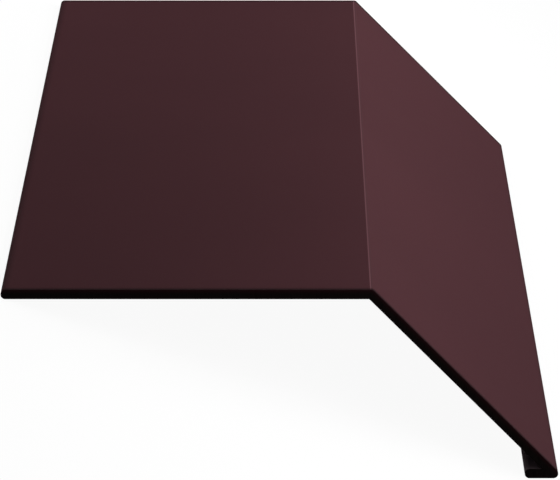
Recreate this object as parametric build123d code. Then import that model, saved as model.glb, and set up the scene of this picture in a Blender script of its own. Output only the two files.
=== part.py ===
from build123d import *

import os
from math import atan2, degrees

# Eaves flashing: one sheet with a flat flange that goes under the roof covering, a face that slopes
# down over the eaves board, and a drip lip turned in along the bottom of the face.

# Driving dimensions, in millimetres and degrees.
# Widths run along the middle of the sheet, from corner to corner or to the rounded free edge.
flange_width = 100.0
face_width = 70.0
lip_width = 7.8
thickness = 2.6
bend_turn = 45.0  # how far the face turns down out of the flange's plane
fold_turn = 135.0  # how far the lip turns back from the face, here until it is parallel to the flange
length = 500.0
end_round = 0.4  # deburred edges of the two cut ends

half_thickness = thickness / 2


def step_from(start, heading, distance):
    """The point that lies a distance away from start, in a heading of the section's plane."""
    return start + Vector(1, 0).rotate(Axis.Z, heading) * distance


# The middle of the sheet, drawn with the flange level and the bend's corner at the origin.
# The free edges are half rounds, so the line stops half a thickness short of each one.
bend = Vector(0, 0)
flange_edge = step_from(bend, 180, flange_width - half_thickness)
fold = step_from(bend, -bend_turn, face_width)
lip_edge = step_from(fold, -bend_turn - fold_turn, lip_width - half_thickness)
middle_line = Polyline(flange_edge, bend, fold, lip_edge)

# Half a thickness to each side of that line is the section. The outer corners and both free edges
# come out round, and the inner corners of the bend and of the drip lip stay sharp.
section = Plane.XZ * make_face(offset(middle_line, half_thickness))

flashing = extrude(section, length / 2, both=True)
flashing = fillet(flashing.faces().filter_by(Axis.Y).edges(), end_round)


def drop_to(point):
    """The angle below level at which the line from the flange's free edge runs down to a point."""
    run = point - flange_edge
    return degrees(atan2(-run.Y, run.X))


# Laid on a floor it stands like a low tent, on the flange's free edge and the lower part of the lip.
# All three rounds have one radius, so the line between two of them becomes level with the floor.
rest_tilt = max(drop_to(lip_edge), drop_to(fold))
flashing = Rot(Y=-rest_tilt) * flashing

# The origin is on the floor under the middle of the piece.
extent = flashing.bounding_box()
flashing = Pos(-extent.center().X, -extent.center().Y, -extent.min.Z) * flashing

os.makedirs("parts", exist_ok=True)
export_step(flashing, "parts/eaves_flashing.step")
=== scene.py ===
# %% [markdown]
# An eaves flashing is one strip of coated sheet. A flat flange goes under the roof covering, a face
# slopes down over the eaves board, and a small lip is turned in along the bottom so that water drips
# clear of the wood. The frame holds that solid at its real size. This lesson folds the same strip again
# out of a flat sheet, rounds its edges, and gives each of its surfaces a finish.

# %% Load the frame
from math import atan2, cos, degrees, radians, sin, tan

import bpy
from mathutils import Matrix, Vector


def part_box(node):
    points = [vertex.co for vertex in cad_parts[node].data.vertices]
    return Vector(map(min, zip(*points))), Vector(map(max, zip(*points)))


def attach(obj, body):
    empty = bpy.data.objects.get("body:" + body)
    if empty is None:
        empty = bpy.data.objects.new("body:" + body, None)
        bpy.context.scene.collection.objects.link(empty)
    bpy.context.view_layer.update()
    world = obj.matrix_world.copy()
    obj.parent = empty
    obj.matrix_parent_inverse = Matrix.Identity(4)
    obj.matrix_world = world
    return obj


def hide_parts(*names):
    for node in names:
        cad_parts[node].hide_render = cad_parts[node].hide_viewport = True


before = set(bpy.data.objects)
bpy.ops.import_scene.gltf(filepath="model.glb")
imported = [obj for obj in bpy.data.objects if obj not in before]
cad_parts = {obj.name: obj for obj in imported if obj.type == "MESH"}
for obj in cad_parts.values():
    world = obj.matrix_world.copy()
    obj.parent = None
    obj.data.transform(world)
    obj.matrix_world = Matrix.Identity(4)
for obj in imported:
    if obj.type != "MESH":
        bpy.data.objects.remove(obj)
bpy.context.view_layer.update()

strip_low, strip_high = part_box("eaves_flashing")


def in_millimetres(points):
    """Points as rounded lists in millimetres, for the printouts."""
    return [[round(1000 * value, 2) for value in point] for point in points]


# %% [markdown]
# The section is three flat widths along the middle of the sheet, one thickness and two turns. It is
# drawn with the flange level and the bend at the origin, because there every edge has an easy place to
# select it by. X runs across the flange towards the face, Y along the strip, and Z up from the flange.
# The length is the only size that the frame's box gives directly, so it is read from there.

# %% Sizes of the section
flange_width = 0.100
face_width = 0.070
lip_width = 0.0078
thickness = 0.0026
bend_turn = radians(45)
fold_turn = radians(135)

half_thickness = thickness / 2
length = strip_high[1] - strip_low[1]


def heading(turn):
    """The direction that the sheet runs in once it has turned down by an angle from the flange."""
    return Vector((cos(turn), 0, -sin(turn)))


flange_direction = heading(0)
face_direction = heading(bend_turn)
lip_direction = heading(bend_turn + fold_turn)
bend_place = Vector((0, 0, 0))
fold_place = bend_place + face_width * face_direction
print("length", round(length, 4), "m, fold", in_millimetres([fold_place]), "mm from the bend")

# %% [markdown]
# Left alone on a floor, the strip tips over until it stands like a low tent, on the flange's free edge
# and the tip of the lip. Both are half rounds of one radius, so the line between their centres becomes
# level. One matrix holds this tilt and the strip's place in the frame. It could be found by trying, but
# the two centres give it exactly. The model, its finishes and the camera all use it later.

# %% Where the strip lies
flange_edge_centre = (half_thickness - flange_width) * flange_direction
lip_edge_centre = fold_place + (lip_width - half_thickness) * lip_direction

rest_run = lip_edge_centre - flange_edge_centre
rest_tilt = atan2(-rest_run.z, rest_run.x)
tip_over = Matrix.Rotation(-rest_tilt, 4, "Y")
edge_in_frame = Vector((strip_low[0] + half_thickness, 0, strip_low[2] + half_thickness))
lay_down = Matrix.Translation(edge_in_frame - tip_over @ flange_edge_centre) @ tip_over
print("tips over by", round(degrees(rest_tilt), 2), "degrees")

# %% [markdown]
# The real strip starts as a flat sheet on a folding machine, so the model does too. A plane is laid as
# the flange. Its edge at the bend is extruded down the slope as the face, and then back under as the
# lip. The section could also be drawn as a curve and extruded, but this way each fold is one edge of
# the mesh, and an edge is easy to find by its place.

# %% Lay the flange
bpy.ops.object.select_all(action="DESELECT")
bpy.ops.mesh.primitive_plane_add(size=1, location=(-flange_width / 2, 0, 0))
flashing = bpy.context.object
flashing.name = "folded_sheet"
flashing.scale = (flange_width, length, 1)
bpy.ops.object.transform_apply(location=True, rotation=True, scale=True)
print("flange", in_millimetres([flashing.dimensions]), "mm")

# %% [markdown]
# By hand an edge would be picked with the mouse. In a script it is picked by a test on its two end
# points: selecting happens in object mode, on the mesh's own list of edges, and the operators then work
# in edit mode. Edge numbers would work too, but they change with every operator, and places don't.

# %% Select edges by their place
tiny = 1e-5


def select_edges(piece, wanted):
    """Stay in edit mode with the edges selected whose two end points satisfy a test, and count them."""
    bpy.ops.object.mode_set(mode="EDIT")
    bpy.ops.mesh.select_mode(type="EDGE")
    bpy.ops.mesh.select_all(action="DESELECT")
    bpy.ops.object.mode_set(mode="OBJECT")
    points = piece.data.vertices
    for edge in piece.data.edges:
        first, second = (points[index].co for index in edge.vertices)
        edge.select = wanted(first, second)
    chosen = sum(edge.select for edge in piece.data.edges)
    bpy.ops.object.mode_set(mode="EDIT")
    return chosen


def runs_along(place):
    """A test for edges that run the length of the strip at a place in the section."""
    def test(first, second):
        spots = [Vector((point.x - place.x, 0, point.z - place.z)) for point in (first, second)]
        return abs(first.y - second.y) > length / 2 and all(spot.length < tiny for spot in spots)
    return test


chosen = select_edges(flashing, runs_along(bend_place))
print("edges at the bend:", chosen)

# %% Fold the face and the lip
bpy.ops.mesh.extrude_region_move(TRANSFORM_OT_translate={"value": face_width * face_direction})
bpy.ops.mesh.extrude_region_move(TRANSFORM_OT_translate={"value": lip_width * lip_direction})
bpy.ops.mesh.select_all(action="SELECT")
bpy.ops.mesh.normals_make_consistent(inside=False)
bpy.ops.object.mode_set(mode="OBJECT")
print("folded sheet:", len(flashing.data.polygons), "flat leaves")

# %% [markdown]
# The Solidify modifier gives the sheet its thickness, half to each side. With even thickness on, it
# moves the corners out along their mitres, so every leaf is as thick as the others. Extruding the whole
# sheet would thicken it in one direction only. The mitre lines that Solidify leaves on the two cut ends
# aren't needed, and a limited dissolve takes them away.

# %% Thicken the sheet
flat_enough = radians(1)

solidify = flashing.modifiers.new("thickness", "SOLIDIFY")
solidify.thickness = thickness
solidify.offset = 0
solidify.use_even_offset = True
solidify.use_quality_normals = True
bpy.ops.object.modifier_apply(modifier=solidify.name)

bpy.ops.object.mode_set(mode="EDIT")
bpy.ops.mesh.select_all(action="SELECT")
bpy.ops.mesh.normals_make_consistent(inside=False)
bpy.ops.mesh.dissolve_limited(angle_limit=flat_enough)
bpy.ops.object.mode_set(mode="OBJECT")
print("thick sheet:", len(flashing.data.polygons), "faces")

# %% [markdown]
# A folded sheet is round on the outside of each fold, and its free edges are rounded over. Its inner
# corners stay sharp, as a tight fold leaves them. To round an edge it first has to be found again: the
# outer corner of a fold lies on the mitre, and a free edge has two corners, half a thickness to each
# side of the middle.

# %% Corners of the section
def left_of(direction):
    """The direction a quarter turn up from a heading: the weather side of the sheet."""
    return Vector((-direction.z, 0, direction.x))


def outer_corner(place, direction_before, direction_after):
    """The outer corner of a fold, where the two outer surfaces meet."""
    outward = (direction_before - direction_after).normalized()
    half_turn = direction_before.angle(direction_after) / 2
    return place + half_thickness / cos(half_turn) * outward


def free_corners(end, direction):
    """The two corners of a free edge, where the sheet ends."""
    return [end + half_thickness * left_of(direction), end - half_thickness * left_of(direction)]


bend_corner = outer_corner(bend_place, flange_direction, face_direction)
fold_corner = outer_corner(fold_place, face_direction, lip_direction)
flange_corners = free_corners(-flange_width * flange_direction, flange_direction)
lip_corners = free_corners(fold_place + lip_width * lip_direction, lip_direction)
print("outer corners", in_millimetres([bend_corner, fold_corner]), "mm")

# %% [markdown]
# The bevel operator turns a sharp edge into an arc. Its offset runs from the old edge to where the arc
# begins: half a thickness times the tangent of half the turn makes the arc go round the middle of the
# sheet. Its profile of 0.5 is a true circle only at a square corner. The profile is therefore worked
# out for each turn, such that the middle of the arc lies on the circle. A Bevel modifier would round
# all the edges by one width, and these need three.

# %% Round the long edges
arc_steps = 12
merge_distance = 2e-6


def round_edges(corners, turn):
    """Bevel the long edges at some corners of the section into arcs around the middle of the sheet."""
    def test(first, second):
        return any(runs_along(corner)(first, second) for corner in corners)
    chosen = select_edges(flashing, test)
    reach = half_thickness * tan(turn / 2)
    circle_profile = (1 - 1 / (2 + 2 * cos(turn / 2))) ** 2
    bpy.ops.mesh.bevel(offset_type="OFFSET", offset=reach, segments=arc_steps, profile=circle_profile,
                       affect="EDGES", clamp_overlap=False)
    bpy.ops.mesh.select_all(action="SELECT")
    bpy.ops.mesh.remove_doubles(threshold=merge_distance)
    bpy.ops.object.mode_set(mode="OBJECT")
    print("rounded", chosen, "edges with a profile of", round(circle_profile, 3))


square = radians(90)
round_edges([bend_corner], bend_turn)
round_edges([fold_corner], fold_turn)
round_edges(flange_corners, square)
round_edges(lip_corners, square)

# %% [markdown]
# The strip is cut to length with a disc, and a file takes the burr off. The outline of each cut end is
# the only set of edges that lies wholly in an end plane, so that is how it is selected. One small bevel
# then rounds it. A Bevel modifier limited by angle would find the inner corners of the folds too.

# %% Deburr the cut ends
end_round = 0.0004
end_steps = 3
quarter_circle = 0.5


def lies_in_an_end(first, second):
    """True for an edge with both points in the same cut end."""
    in_end_planes = all(abs(abs(point.y) - length / 2) < tiny for point in (first, second))
    return in_end_planes and first.y * second.y > 0


chosen = select_edges(flashing, lies_in_an_end)
bpy.ops.mesh.bevel(offset_type="OFFSET", offset=end_round, segments=end_steps, profile=quarter_circle,
                   affect="EDGES", clamp_overlap=False)
bpy.ops.mesh.select_all(action="SELECT")
bpy.ops.mesh.remove_doubles(threshold=merge_distance)
bpy.ops.mesh.normals_make_consistent(inside=False)
bpy.ops.object.mode_set(mode="OBJECT")
print("deburred", chosen, "edges,", len(flashing.data.polygons), "faces now")

# %% [markdown]
# The strip has three finishes: a brown coating on the weather side, a thin backing coat on the reverse
# side, and the cut ends, painted nearly black as painted shade. They could be three meshes, but the
# real strip is one piece, so they are three material slots of one mesh. The first slot covers
# everything until faces are given to the others.

# %% Three finishes
coating = bpy.data.materials.new("weather_coating")
backing = bpy.data.materials.new("backing_coat")
cut_edge = bpy.data.materials.new("cut_edge")
for finish in (coating, backing, cut_edge):
    flashing.data.materials.append(finish)
print("finishes:", flashing.data.materials.keys())

# %% [markdown]
# Which face gets which finish is a question of its place. A face is on the reverse side if it lies to
# the right of the sheet's run from the flange's edge to the lip, within one of the three leaves, and
# the tip of the lip belongs there too. A cut end and its rounded rim are the only faces that look along
# the strip.

# %% Which face gets which finish
leaves = [
    (flange_edge_centre, flange_direction, flange_width - half_thickness),
    (bend_place, face_direction, face_width),
    (fold_place, lip_direction, lip_width),
]
least_along = 0.2


def on_reverse_side(face):
    """True for faces on the side of the sheet turned to the eaves board, and on the lip's tip."""
    for start, direction, width in leaves:
        run = (face.center - start).dot(direction)
        height = (face.center - start).dot(left_of(direction))
        on_leaf = 0 < run < width and abs(height) < half_thickness + tiny
        on_tip = direction == lip_direction and run > lip_width - half_thickness
        if on_leaf and (height < 0 or on_tip):
            return True
    return False


def in_a_cut_end(face):
    """True for the faces of the two cut ends and their rims."""
    return abs(face.normal.y) > least_along


print("sides are told apart on", len(leaves), "leaves")

# %% [markdown]
# Faces are selected like edges, with a test, and the slot is then assigned to the selection as the
# material panel does it. The backing coat goes on first, and the cut ends second, because the rims of
# the ends pass both tests. Each face's material_index could be set without selecting, with the same
# result.

# %% Give the faces their finish
def assign_faces(piece, finish, wanted):
    """Give a finish to the faces that satisfy a test."""
    bpy.ops.object.mode_set(mode="EDIT")
    bpy.ops.mesh.select_mode(type="FACE")
    bpy.ops.mesh.select_all(action="DESELECT")
    bpy.ops.object.mode_set(mode="OBJECT")
    for face in piece.data.polygons:
        face.select = wanted(face)
    piece.active_material_index = piece.data.materials.find(finish.name)
    bpy.ops.object.mode_set(mode="EDIT")
    bpy.ops.object.material_slot_assign()
    bpy.ops.object.mode_set(mode="OBJECT")
    print(finish.name, "on", sum(face.select for face in piece.data.polygons), "faces")


assign_faces(flashing, backing, on_reverse_side)
assign_faces(flashing, cut_edge, in_a_cut_end)

# %% [markdown]
# The flat leaves have to look flat and the arcs round. Smooth shading by angle does the arcs, and the
# Weighted Normal modifier lets the large flat faces decide the normals along their borders. More
# segments in the bevels would do it too, at the price of many more faces.

# %% Shade
sharpest_smooth_edge = radians(40)
bpy.ops.object.shade_smooth_by_angle(angle=sharpest_smooth_edge)
weighted = flashing.modifiers.new("flat leaves", "WEIGHTED_NORMAL")
weighted.keep_sharp = True
bpy.ops.object.modifier_apply(modifier=weighted.name)
print("smooth faces:", sum(face.use_smooth for face in flashing.data.polygons))

# %% [markdown]
# Now the strip is tipped over onto the floor. Its place is applied to the mesh, so that the object
# itself is left at the origin, unturned, and the finishes can count on that. It rides on the frame's
# one body and stands for the frame's one node.

# %% Lay it down
flashing.matrix_world = lay_down
bpy.ops.object.transform_apply(location=True, rotation=True, scale=True)
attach(flashing, "root")
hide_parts("eaves_flashing")
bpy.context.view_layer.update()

# %% [markdown]
# A finish is a small graph of nodes. A few helpers keep the graphs short: one adds a node and fills its
# sockets, one blends two colours, and one makes a soft step out of a value. Each could be written out
# node by node, but then the patterns would be hard to see among the links.

# %% Nodes in few words
def add_node(tree, kind, feeds=None, **options):
    """Add a node, set its options, and feed its sockets with numbers, colours or other sockets."""
    node = tree.nodes.new("ShaderNode" + kind)
    for option, value in options.items():
        setattr(node, option, value)
    for socket, value in (feeds or {}).items():
        if isinstance(value, bpy.types.NodeSocket):
            tree.links.new(value, node.inputs[socket])
        else:
            node.inputs[socket].default_value = value
    return node


def blend(tree, share, first, second):
    """The colour between two colours; share 0 gives the first and share 1 the second."""
    # A Mix node has sockets for each kind of value. Its colours are inputs 6 and 7 and output 2.
    return add_node(tree, "Mix", {0: share, 6: first, 7: second}, data_type="RGBA").outputs[2]


def between(tree, value, low, high, at_low=0.0, at_high=1.0):
    """A soft step: at_low below the low value, at_high above the high value, smooth between them."""
    feeds = {"Value": value, "From Min": low, "From Max": high, "To Min": at_low, "To Max": at_high}
    return add_node(tree, "MapRange", feeds, interpolation_type="SMOOTHSTEP").outputs[0]


def greater(tree, first, second):
    """The greater of two values."""
    return add_node(tree, "Math", {0: first, 1: second}, operation="MAXIMUM").outputs[0]


def weighted_sum(tree, values_and_shares):
    """Add up values, each times its share."""
    total = 0.0
    for value, share in values_and_shares:
        feeds = {0: value, 1: share, 2: total}
        total = add_node(tree, "Math", feeds, operation="MULTIPLY_ADD").outputs[0]
    return total


print("helpers for graphs are ready")

# %% [markdown]
# Patterns read Object coordinates, which stay with the strip. A Mapping node of the Texture kind undoes
# the tilt, so that X runs across the flange from the bend, Y along the strip and Z away from the flange
# again. Every distance in the graphs below is then a plain distance on the folded sheet. A UV map would
# do as well, but would have to be unwrapped first.

# %% Places and patterns
bend_in_frame = lay_down @ bend_place
noise_low, noise_high = 0.3, 0.7  # nearly all values of a noise pattern lie between these


def sheet_place(tree):
    """Coordinates on the folded sheet, from the bend."""
    place = add_node(tree, "TexCoord").outputs["Object"]
    feeds = {"Vector": place, "Location": bend_in_frame, "Rotation": (0, -rest_tilt, 0)}
    return add_node(tree, "Mapping", feeds, vector_type="TEXTURE").outputs[0]


def noise(tree, place, per_metre):
    """Soft random values around 0.5 with about so many bumps to a metre."""
    return add_node(tree, "TexNoise", {"Vector": place, "Scale": per_metre}).outputs[0]


def drawn_out_noise(tree, place, per_metre):
    """Noise with its own count for each direction: few to a metre draws the bumps out into lines."""
    counted_place = add_node(tree, "Mapping", {"Vector": place, "Scale": per_metre}).outputs[0]
    return noise(tree, counted_place, 1.0)


print("finishes measure from the bend at", in_millimetres([bend_in_frame]), "mm")

# %% [markdown]
# The three finishes begin and end alike. Each begins with its node tree and the coordinates on the
# sheet, and ends on the sockets of a Principled shader. Only the patterns between differ, so two
# helpers hold the rest. A node group could hold it too, but what is even all over has to sit on the
# shader's own sockets.

# %% Put a finish on its shader
def start_finish(material):
    """Switch a material to nodes and return its node tree and the coordinates on the sheet."""
    material.use_nodes = True
    return material.node_tree, sheet_place(material.node_tree)


def end_finish(material, colour, roughness, gloss, relief, strength, depth):
    """Feed a material's shader: colour, roughness, an even gloss, and a bump from a relief's height."""
    tree = material.node_tree
    shader = tree.nodes["Principled BSDF"]
    bump = add_node(tree, "Bump", {"Height": relief, "Strength": strength, "Distance": depth})
    tree.links.new(colour, shader.inputs["Base Color"])
    tree.links.new(roughness, shader.inputs["Roughness"])
    tree.links.new(bump.outputs[0], shader.inputs["Normal"])
    shader.inputs["Specular IOR Level"].default_value = gloss
    print(material.name, "has", len(tree.nodes), "nodes")


print("helpers for finishes are ready")

# %% [markdown]
# The weather side has a matte chocolate brown coil coating with a hint of red. It is baked on before
# the sheet is folded, so it runs over the folds without a seam. Its depth of colour is slightly uneven,
# in wide clouds and in a fine grain, and the coating roller leaves very faint lines along the strip.
# All three are noise at different scales. A picture of a real coating would be tied to one size of
# strip.

# %% Brown coating: colour
brown_deep = (0.0724, 0.0243, 0.0299, 1)
brown_pale = (0.0784, 0.0263, 0.0323, 1)
clouds_per_metre, cloud_share = 9.0, 0.50
lines_per_metre, line_share = (420.0, 3.0, 420.0), 0.05
grains_per_metre, grain_share = 1400.0, 0.45
mottle_low, mottle_high = 0.35, 0.65

coating_tree, coating_place = start_finish(coating)
clouds = noise(coating_tree, coating_place, clouds_per_metre)
roller_lines = drawn_out_noise(coating_tree, coating_place, lines_per_metre)
grain = noise(coating_tree, coating_place, grains_per_metre)
shares = [(clouds, cloud_share), (roller_lines, line_share), (grain, grain_share)]
mottle = between(coating_tree, weighted_sum(coating_tree, shares), mottle_low, mottle_high)
coating_colour = blend(coating_tree, mottle, brown_deep, brown_pale)
print("brown runs from", brown_deep[:3], "to", brown_pale[:3])

# %% [markdown]
# Along the outside of the bend the brown is painted lighter: a painted highlight, strongest along the
# line where the flange ends. Over the arc towards the face it is painted light that fades out. This
# could be a mesh strip with a material of its own, but a ramp over the distance from the bend needs no
# new edges and can fade.

# %% Brown coating: painted highlight on the bend
# painted highlight and painted light: the bend is painted lighter here, not lit brighter
brown_painted_bend_light = (0.196, 0.086, 0.100, 1)
arc_end = half_thickness * sin(bend_turn)
bend_light_stops = [(-0.00034, 0.0), (-0.00028, 1.0), (-0.00004, 1.0), (0.00004, 0.3), (arc_end, 0.0)]


def ramp(tree, value, stops):
    """A curve of straight lines through stops, each of them a value and what comes out there."""
    low, high = stops[0][0], stops[-1][0]
    share = add_node(tree, "MapRange", {"Value": value, "From Min": low, "From Max": high}).outputs[0]
    node = add_node(tree, "ValToRGB", {"Fac": share})
    while len(node.color_ramp.elements) < len(stops):
        node.color_ramp.elements.new(1.0)
    for element, (stop, level) in zip(node.color_ramp.elements, stops):
        element.position = (stop - low) / (high - low)
        element.color = (level, level, level, 1)
    return node.outputs["Color"]


coating_xyz = add_node(coating_tree, "SeparateXYZ", {0: coating_place}).outputs
painted_bend_light = ramp(coating_tree, coating_xyz["X"], bend_light_stops)
coating_colour = blend(coating_tree, painted_bend_light, coating_colour, brown_painted_bend_light)
print("stretched coating from", 1000 * bend_light_stops[0][0], "to", round(1000 * arc_end, 2), "mm")

# %% [markdown]
# Along the free edge of the flange and the fold of the lip the brown is painted darker: painted shade
# for the rounded edges turned away from the lamps. How far along the flange and down the face a point
# lies is again a
# plain coordinate: the face's own comes from a dot product with the direction that the face runs in.

# %% Brown coating: painted shade at the rounded edges
# painted shade: the rounded free edge and the fold are painted darker
brown_painted_edge_shade = (0.0392, 0.0132, 0.0162, 1)
edge_shade_width = 0.0028
edge_shade_to = edge_shade_width - flange_width
edge_shade_from = face_width + half_thickness - edge_shade_width


def distance_along(tree, place, direction):
    """How far a place lies from the bend in a direction."""
    product = add_node(tree, "VectorMath", {0: place, 1: direction}, operation="DOT_PRODUCT")
    return product.outputs["Value"]


down_face = distance_along(coating_tree, coating_place, face_direction)
free_edge_shade = between(coating_tree, coating_xyz["X"], -flange_width, edge_shade_to, at_low=1.0, at_high=0.0)
fold_shade = between(coating_tree, down_face, edge_shade_from, edge_shade_from + edge_shade_width)
painted_edge_shade = greater(coating_tree, free_edge_shade, fold_shade)
coating_colour = blend(coating_tree, painted_edge_shade, coating_colour, brown_painted_edge_shade)
print("worn for", 1000 * edge_shade_width, "mm at the free edge and the fold")

# %% [markdown]
# The last few millimetres before each cut are painted darker, a little more at the far end: painted
# shade for the rounded edges of the ends. A hard border would look painted on, so the step is a soft
# one, and the dark runs out into the brown.

# %% Brown coating: painted shade next to the cuts
# painted shade: the brown is painted darker over the last millimetres before each cut
brown_painted_cut_shade = (0.008, 0.0026, 0.0031, 1)
near_reach = 0.0042
far_reach = 0.0060

along = coating_xyz["Y"]
near_cut_shade = between(coating_tree, along, -length / 2, near_reach - length / 2, at_low=1.0, at_high=0.0)
far_cut_shade = between(coating_tree, along, length / 2 - far_reach, length / 2)
painted_cut_shade = greater(coating_tree, near_cut_shade, far_cut_shade)
coating_colour = blend(coating_tree, painted_cut_shade, coating_colour, brown_painted_cut_shade)
print("burnt for", 1000 * near_reach, "and", 1000 * far_reach, "mm at the cuts")

# %% [markdown]
# The coating is almost free of gloss. The photograph sees the flange at a flat angle, where even a
# little gloss would wash the brown out. What the surface has is a dry grain that can be felt, in two
# sizes. It is far too fine for geometry, so it is a bump, and the coarser grain also varies the
# roughness.

# %% Brown coating: surface
coating_gloss = 0.02
smoothest_coating, roughest_coating = 0.88, 1.0
fine_grains_per_metre = 4500.0
coarse_share, fine_share = 0.6, 0.4
grain_strength, grain_depth = 0.4, 0.00004

coating_roughness = between(coating_tree, grain, noise_low, noise_high,
                            smoothest_coating, roughest_coating)
fine_grain = noise(coating_tree, coating_place, fine_grains_per_metre)
coating_relief = weighted_sum(coating_tree, [(grain, coarse_share), (fine_grain, fine_share)])
end_finish(coating, coating_colour, coating_roughness, coating_gloss, coating_relief,
           strength=grain_strength, depth=grain_depth)

# %% [markdown]
# The reverse side only gets a thin backing coat, here a dark brownish grey. It is rolled on in one
# pass, so its roller lines are stronger than on the weather side, and it is a little uneven. In the
# photograph it shows only inside the lip. It is made like the brown coating, with its own counts and
# shares.

# %% Backing coat
grey_deep = (0.072, 0.054, 0.060, 1)
grey_pale = (0.100, 0.075, 0.083, 1)
backing_lines_per_metre, backing_line_share = (300.0, 2.0, 300.0), 0.6
backing_clouds_per_metre, backing_cloud_share = 14.0, 0.4
backing_gloss = 0.05
smoothest_backing, roughest_backing = 0.75, 0.95
backing_strength, backing_depth = 0.3, 0.00005

backing_tree, backing_place = start_finish(backing)
backing_lines = drawn_out_noise(backing_tree, backing_place, backing_lines_per_metre)
backing_clouds = noise(backing_tree, backing_place, backing_clouds_per_metre)
shares = [(backing_lines, backing_line_share), (backing_clouds, backing_cloud_share)]
backing_mottle = between(backing_tree, weighted_sum(backing_tree, shares), mottle_low, mottle_high)
backing_colour = blend(backing_tree, backing_mottle, grey_deep, grey_pale)
backing_roughness = between(backing_tree, backing_lines, noise_low, noise_high,
                            smoothest_backing, roughest_backing)
end_finish(backing, backing_colour, backing_roughness, backing_gloss, backing_lines,
           strength=backing_strength, depth=backing_depth)

# %% [markdown]
# The two ends are painted nearly black: painted shade, as on end faces turned away from the lamps. They
# carry fine upright scratches from the disc. The scratches are noise again, drawn out upwards, and they
# work through colour, roughness and bump. At the top the black turns into a dark brown, more painted
# shade, which carries the painted shade next to the cuts over the rounded rim: the height over the
# middle of the sheet, from the flange or from the face, says where.

# %% Cut ends: painted shade
# painted shade: the cut ends are painted nearly black, and dark brown at their top rim
end_shade_deep = (0.0036, 0.0026, 0.0024, 1)
end_shade_pale = (0.0074, 0.0053, 0.0049, 1)
brown_painted_rim_shade = (0.012, 0.0036, 0.0045, 1)
scratches_per_metre = (3000.0, 3000.0, 250.0)
cut_gloss = 0.01
smoothest_cut, roughest_cut = 0.75, 0.95
scratch_strength, scratch_depth = 0.3, 0.00005

cut_tree, cut_place = start_finish(cut_edge)
scratches = drawn_out_noise(cut_tree, cut_place, scratches_per_metre)
scratched = between(cut_tree, scratches, noise_low, noise_high)
cut_colour = blend(cut_tree, scratched, end_shade_deep, end_shade_pale)
over_flange = distance_along(cut_tree, cut_place, left_of(flange_direction))
over_face = distance_along(cut_tree, cut_place, left_of(face_direction))
painted_rim_shade = between(cut_tree, greater(cut_tree, over_flange, over_face), 0.0, half_thickness)
cut_colour = blend(cut_tree, painted_rim_shade, cut_colour, brown_painted_rim_shade)
cut_roughness = between(cut_tree, scratches, noise_low, noise_high, smoothest_cut, roughest_cut)
end_finish(cut_edge, cut_colour, cut_roughness, cut_gloss, scratches,
           strength=scratch_strength, depth=scratch_depth)

# %% [markdown]
# The strip lies on a plain floor in a plain room. To the camera both are white. For the light that
# falls on the strip they are an ordinary pale floor and a dim room, so the white background adds no
# light of its own. The Light Path node tells the two kinds of ray apart. Brighter lamps would make the
# floor white too, but would bleach the brown.

# %% Floor
floor_width = 20

bpy.ops.object.select_all(action="DESELECT")
bpy.ops.mesh.primitive_plane_add(size=floor_width, location=(0, 0, 0))
floor = bpy.context.object
floor.name = "floor"
floor_finish = bpy.data.materials.new("pale_floor")
floor_finish.use_nodes = True
floor.data.materials.append(floor_finish)
print("floor", floor.dimensions[0], "m wide")

# %% [markdown]
# The white that the camera sees has two shares. Most of it is an even glow, and the rest is ordinary
# diffuse white, which keeps the strip's shadow on the floor. A plain white floor would do it with one
# shader, but it goes grey away from the lamps.

# %% Floor: finish
floor_pale = (0.8, 0.8, 0.8, 1)
shadowed_share = (0.10, 0.10, 0.10, 1)
even_share = 0.94


def seen_directly(tree):
    """One for rays from the camera, mirrors and glass, and zero for the rays that light a surface."""
    rays = add_node(tree, "LightPath").outputs
    mirror_or_glass = greater(tree, rays["Is Glossy Ray"], rays["Is Transmission Ray"])
    return greater(tree, rays["Is Camera Ray"], mirror_or_glass)


floor_tree = floor_finish.node_tree
floor_tree.nodes.clear()
pale = add_node(floor_tree, "BsdfDiffuse", {"Color": floor_pale}).outputs[0]
shadowed_white = add_node(floor_tree, "BsdfDiffuse", {"Color": shadowed_share}).outputs[0]
even_white = add_node(floor_tree, "Emission", {"Strength": even_share}).outputs[0]
white = add_node(floor_tree, "AddShader", {0: shadowed_white, 1: even_white}).outputs[0]
floor_surface = add_node(floor_tree, "MixShader", {0: seen_directly(floor_tree), 1: pale, 2: white})
add_node(floor_tree, "OutputMaterial", {"Surface": floor_surface.outputs[0]})
print("floor finish has", len(floor_tree.nodes), "nodes")

# %% [markdown]
# The room beyond the floor is the world. Its dim even light fills the shadows under the strip, and the
# camera sees it as plain white, so the floor has no visible end. Walls of mesh would do it too, but
# they would have to stand far off and be lit on their own.

# %% Room
room_light = 0.23
backdrop_light = 1.0
plain_white = (1, 1, 1, 1)

world = bpy.data.worlds.new("studio")
bpy.context.scene.world = world
world.use_nodes = True
world_tree = world.node_tree
world_tree.nodes.clear()


def even_background(strength):
    """A plain white background of some strength."""
    feeds = {"Color": plain_white, "Strength": strength}
    return add_node(world_tree, "Background", feeds).outputs[0]


dim = even_background(room_light)
bright = even_background(backdrop_light)
room = add_node(world_tree, "MixShader", {0: seen_directly(world_tree), 1: dim, 2: bright})
add_node(world_tree, "OutputWorld", {"Surface": room.outputs[0]})
print("room light", room_light)

# %% [markdown]
# Three soft boxes do the rest. A long one stands close over the bend, so both leaves are brightest
# there and fall off to their free edges. A large one on the lip's side makes the sloping face lighter
# than the flange. A small one behind lifts the far corner of the flange. The camera doesn't see them.

# %% Lights
past_the_middle = 0.03
middle_height = 0.02

over_bend = bend_in_frame + Vector((0, past_the_middle, 0))
strip_middle = Vector((0, 0, middle_height))


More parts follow.
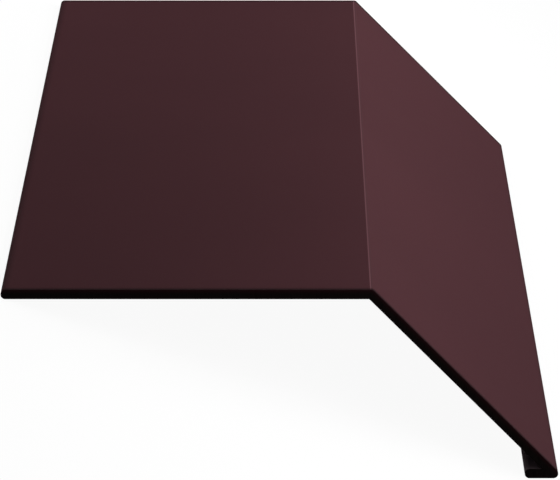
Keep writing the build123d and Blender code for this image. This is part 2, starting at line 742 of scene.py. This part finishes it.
def soft_box(name, target, azimuth, elevation, distance, width, height, watts):
    """An area light aimed at a target; azimuth 0 is on the lip's side, 90 degrees at the far end."""
    level = cos(radians(elevation))
    across_floor = Matrix.Rotation(radians(azimuth), 3, "Z") @ Vector((level, 0, 0))
    direction = across_floor + Vector((0, 0, sin(radians(elevation))))
    bpy.ops.object.light_add(type="AREA", location=target + distance * direction)
    lamp = bpy.context.object
    lamp.name = name
    lamp.data.shape = "RECTANGLE"
    lamp.data.size = width
    lamp.data.size_y = height
    lamp.data.energy = watts
    lamp.rotation_euler = (-direction).to_track_quat("-Z", "Y").to_euler()
    lamp.visible_camera = False
    print(name, watts, "W at", [round(value, 2) for value in lamp.location])


soft_box("long_box", over_bend, azimuth=0, elevation=72, distance=0.10,
         width=1.2, height=0.03, watts=0.305)
soft_box("lip_side_box", strip_middle, azimuth=24, elevation=14, distance=1.6,
         width=1.0, height=1.0, watts=14.3)
soft_box("far_box", strip_middle, azimuth=135, elevation=20, distance=0.45,
         width=0.3, height=0.3, watts=0.28)

# %% [markdown]
# The photograph looks along the strip from a little above, with the flange level in the picture. The
# camera is therefore set up against the level flange, through a long lens from almost two metres away,
# and then tipped over together with the strip.

# %% Camera
camera_elevation = radians(11.0)
camera_distance = 1.912
aim_from_bend = 0.0247
aim_from_near_end = 0.0774
camera_right_of_aim = 0.0022
focal_length_mm = 437.9
sensor_width_mm = 36

aim = Vector((-aim_from_bend, aim_from_near_end - length / 2, 0))
stand_back = camera_distance * Vector((0, -cos(camera_elevation), sin(camera_elevation)))
camera_place = aim + stand_back + Vector((camera_right_of_aim, 0, 0))
look_at_aim = (aim - camera_place).to_track_quat("-Z", "Y").to_matrix().to_4x4()

bpy.ops.object.camera_add()
camera = bpy.context.object
camera.data.lens = focal_length_mm
camera.data.sensor_width = sensor_width_mm
camera.data.sensor_fit = "HORIZONTAL"
camera.matrix_world = lay_down @ Matrix.Translation(camera_place) @ look_at_aim
bpy.context.scene.camera = camera
bpy.context.scene.view_settings.view_transform = "Standard"
print("camera at", in_millimetres([camera.matrix_world.translation]), "mm")
